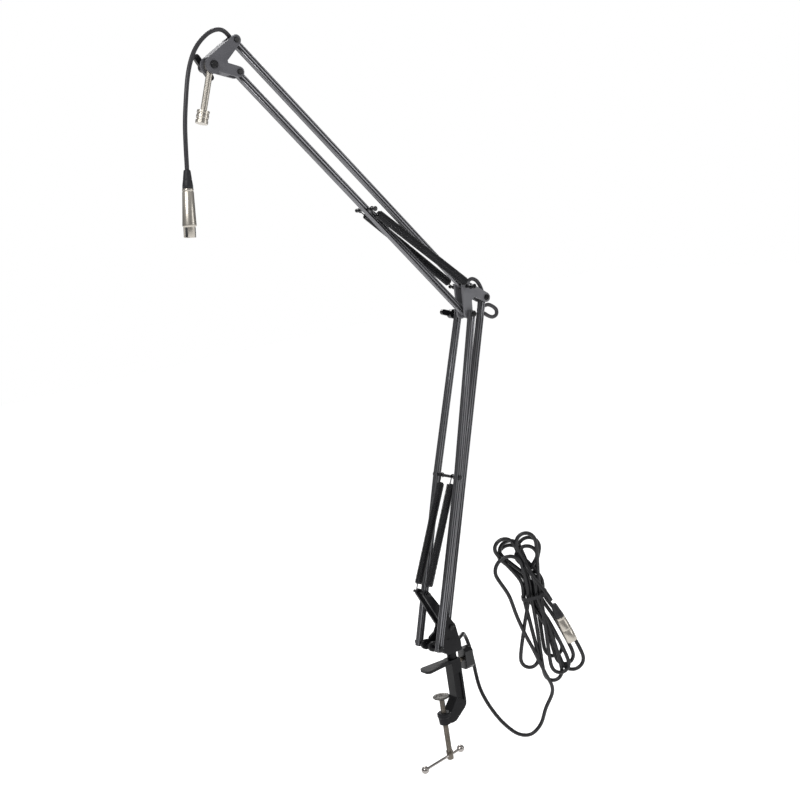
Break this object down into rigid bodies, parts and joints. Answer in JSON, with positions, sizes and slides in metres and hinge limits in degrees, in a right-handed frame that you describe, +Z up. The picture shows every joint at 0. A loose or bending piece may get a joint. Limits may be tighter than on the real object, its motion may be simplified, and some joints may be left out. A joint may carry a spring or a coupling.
{
  "type": "desk-clamp microphone boom arm",
  "caption": "Spring-balanced two-section desk-clamp boom arm for a microphone, with an integrated XLR cable and an empty thread adapter.",
  "frame": {"origin": "on the upper jaw's flat underside, where the clamp bears on the table top, 29 mm in front of the swivel post", "axes": "+Z up; the arm lies in the plane y = 0 and reaches towards -X, over the clamp's jaw"},
  "size_m": [0.4829, 0.1596, 1.038],
  "materials": {
    "clamp_frame": "black powder coat",
    "tail_cable": "satin PVC jacket",
    "cable_hank": "satin PVC jacket",
    "xlr_male_boot": "moulded",
    "xlr_male_shell": "nickel plated",
    "xlr_male_pin_1": "plated",
    "xlr_male_pin_2": "plated",
    "xlr_male_pin_3": "plated",
    "clamp_pad": "nickel plated",
    "clamp_screw": "nickel plated",
    "tommy_bar": "polished",
    "arm_lock_screw": "nickel plated",
    "arm_lock_knob": "moulded",
    "swivel_post": "black powder coat",
    "base_bracket": "black powder coat",
    "front_base_bolt": "black powder coat",
    "rear_base_bolt": "black powder coat",
    "lower_spring_pin": "black powder coat",
    "lower_spring_far": "black finished spring wire",
    "lower_spring_near": "black finished spring wire",
    "lower_rear_tube": "satin gunmetal paint",
    "elbow_cable_loop": "satin PVC jacket",
    "cable_in_lower_tube": "satin PVC jacket",
    "lower_front_tube_far": "satin gunmetal paint",
    "lower_front_tube_near": "satin gunmetal paint",
    "lower_crossbar": "black powder coat",
    "elbow_bracket": "grey textured powder coat",
    "elbow_top_bolt": "black powder coat",
    "elbow_rear_bolt": "black powder coat",
    "elbow_front_axle": "black powder coat",
    "elbow_cable_arch": "satin PVC jacket",
    "upper_spring_far": "black finished spring wire",
    "upper_spring_near": "black finished spring wire",
    "elbow_wing_knob": "moulded",
    "upper_arm_top_tube": "satin gunmetal paint",
    "cable_in_upper_tube": "satin PVC jacket",
    "upper_arm_bottom_tube": "satin gunmetal paint",
    "upper_crossbar": "black powder coat",
    "head_bracket": "grey textured powder coat",
    "head_top_bolt": "black powder coat",
    "head_lower_bolt": "black powder coat",
    "head_tilt_bolt": "black powder coat",
    "head_cable": "satin PVC jacket",
    "xlr_female_boot": "moulded",
    "xlr_female_shell": "nickel plated",
    "xlr_female_insert": "moulded",
    "head_wing_knob": "moulded",
    "mic_stem": "nickel plated",
    "thread_adapter": "nickel plated"
  },
  "bodies": {
    "clamp": {"clamp_frame": "clamp_frame", "tail_cable": "tail_cable", "cable_hank": "cable_hank", "xlr_male_boot": "xlr_male_boot", "xlr_male_shell": "xlr_male_shell", "xlr_male_pin_1": "xlr_male_pin_1", "xlr_male_pin_2": "xlr_male_pin_2", "xlr_male_pin_3": "xlr_male_pin_3"},
    "pad": {"clamp_pad": "clamp_pad"},
    "screw": {"clamp_screw": "clamp_screw"},
    "handle": {"tommy_bar": "tommy_bar"},
    "arm_lock": {"arm_lock_screw": "arm_lock_screw", "arm_lock_knob": "arm_lock_knob"},
    "base": {"swivel_post": "swivel_post", "base_bracket": "base_bracket", "front_base_bolt": "front_base_bolt", "rear_base_bolt": "rear_base_bolt", "lower_spring_pin": "lower_spring_pin", "lower_spring_far": "lower_spring_far", "lower_spring_near": "lower_spring_near"},
    "rear_link": {"lower_rear_tube": "lower_rear_tube", "elbow_cable_loop": "elbow_cable_loop", "cable_in_lower_tube": "cable_in_lower_tube"},
    "front_pair": {"lower_front_tube_far": "lower_front_tube_far", "lower_front_tube_near": "lower_front_tube_near", "lower_crossbar": "lower_crossbar"},
    "elbow": {"elbow_bracket": "elbow_bracket", "elbow_top_bolt": "elbow_top_bolt", "elbow_rear_bolt": "elbow_rear_bolt", "elbow_front_axle": "elbow_front_axle", "elbow_cable_arch": "elbow_cable_arch", "upper_spring_far": "upper_spring_far", "upper_spring_near": "upper_spring_near"},
    "elbow_knob": {"elbow_wing_knob": "elbow_wing_knob"},
    "top_link": {"upper_arm_top_tube": "upper_arm_top_tube", "cable_in_upper_tube": "cable_in_upper_tube"},
    "bottom_link": {"upper_arm_bottom_tube": "upper_arm_bottom_tube", "upper_crossbar": "upper_crossbar"},
    "head": {"head_bracket": "head_bracket", "head_top_bolt": "head_top_bolt", "head_lower_bolt": "head_lower_bolt", "head_tilt_bolt": "head_tilt_bolt", "head_cable": "head_cable", "xlr_female_boot": "xlr_female_boot", "xlr_female_shell": "xlr_female_shell", "xlr_female_insert": "xlr_female_insert"},
    "head_knob": {"head_wing_knob": "head_wing_knob"},
    "stem": {"mic_stem": "mic_stem", "thread_adapter": "thread_adapter"}
  },
  "joints": [
    {"name": "clamp_screw_feed", "type": "slide", "parent": "clamp", "child": "pad", "axis": [0, 0, 1], "range_m": [-0.018, 0.036]},
    {"name": "clamp_screw_turn", "type": "hinge", "parent": "pad", "child": "screw", "pos_m": [0.0005, 0, -0.09], "axis": [0, 0, 1], "range_deg": [-5200, 10400]},
    {"name": "tommy_bar_slide", "type": "slide", "parent": "screw", "child": "handle", "axis": [0.9837, 0.1799, 0], "range_m": [-0.0125, 0.0425]},
    {"name": "arm_lock_turn", "type": "hinge", "parent": "clamp", "child": "arm_lock", "pos_m": [0.039, 0, -0.002], "axis": [1, 0, 0], "range_deg": [0, 360]},
    {"name": "base_swivel", "type": "hinge", "parent": "clamp", "child": "base", "pos_m": [0.029, 0, 0.016], "axis": [0, 0, 1], "range_deg": [-100, 100], "deforming": ["tail_cable"]},
    {"name": "lower_arm_tilt", "type": "hinge", "parent": "base", "child": "rear_link", "pos_m": [0.028, 0, 0.0535], "axis": [0, 1, 0], "range_deg": [-40, 10], "deforming": ["lower_spring_far", "lower_spring_near"]},
    {"name": "lower_front_pivot", "type": "hinge", "parent": "base", "child": "front_pair", "pos_m": [-0.007, 0, 0.036], "axis": [0, 1, 0], "range_deg": [-40.5, 10.5]},
    {"name": "elbow_level", "type": "hinge", "parent": "rear_link", "child": "elbow", "pos_m": [0.17324, 0, 0.5005], "axis": [0, 1, 0], "range_deg": [-10.5, 40.5], "deforming": ["elbow_cable_arch"]},
    {"name": "elbow_knob_turn", "type": "hinge", "parent": "elbow", "child": "elbow_knob", "pos_m": [0.13824, 0.028, 0.483], "axis": [0, 1, 0], "range_deg": [0, 360]},
    {"name": "upper_arm_tilt", "type": "hinge", "parent": "elbow", "child": "top_link", "pos_m": [0.14074, 0, 0.5218], "axis": [0, 1, 0], "range_deg": [-75, 18], "deforming": ["upper_spring_far", "upper_spring_near", "head_cable", "elbow_cable_arch"]},
    {"name": "upper_bottom_pivot", "type": "hinge", "parent": "elbow", "child": "bottom_link", "pos_m": [0.13824, 0, 0.483], "axis": [0, 1, 0], "range_deg": [-75.5, 18.5]},
    {"name": "head_level", "type": "hinge", "parent": "top_link", "child": "head", "pos_m": [-0.16137, 0, 0.88184], "axis": [0, 1, 0], "range_deg": [-18.5, 75.5], "deforming": ["head_cable"]},
    {"name": "head_knob_turn", "type": "hinge", "parent": "head", "child": "head_knob", "pos_m": [-0.19817, 0.018, 0.85474], "axis": [0, 1, 0], "range_deg": [0, 360]},
    {"name": "mic_stem_tilt", "type": "hinge", "parent": "head", "child": "stem", "pos_m": [-0.19817, 0, 0.85474], "axis": [0, 1, 0], "range_deg": [-30, 85]}
  ],
  "couplings": [
    {"joint": "clamp_screw_turn", "follows": "clamp_screw_feed", "rad_per_m": 5026.5},
    {"joint": "lower_front_pivot", "follows": "lower_arm_tilt", "ratio": 1},
    {"joint": "elbow_level", "follows": "lower_arm_tilt", "ratio": -1},
    {"joint": "upper_bottom_pivot", "follows": "upper_arm_tilt", "ratio": 1},
    {"joint": "head_level", "follows": "upper_arm_tilt", "ratio": -1}
  ]
}
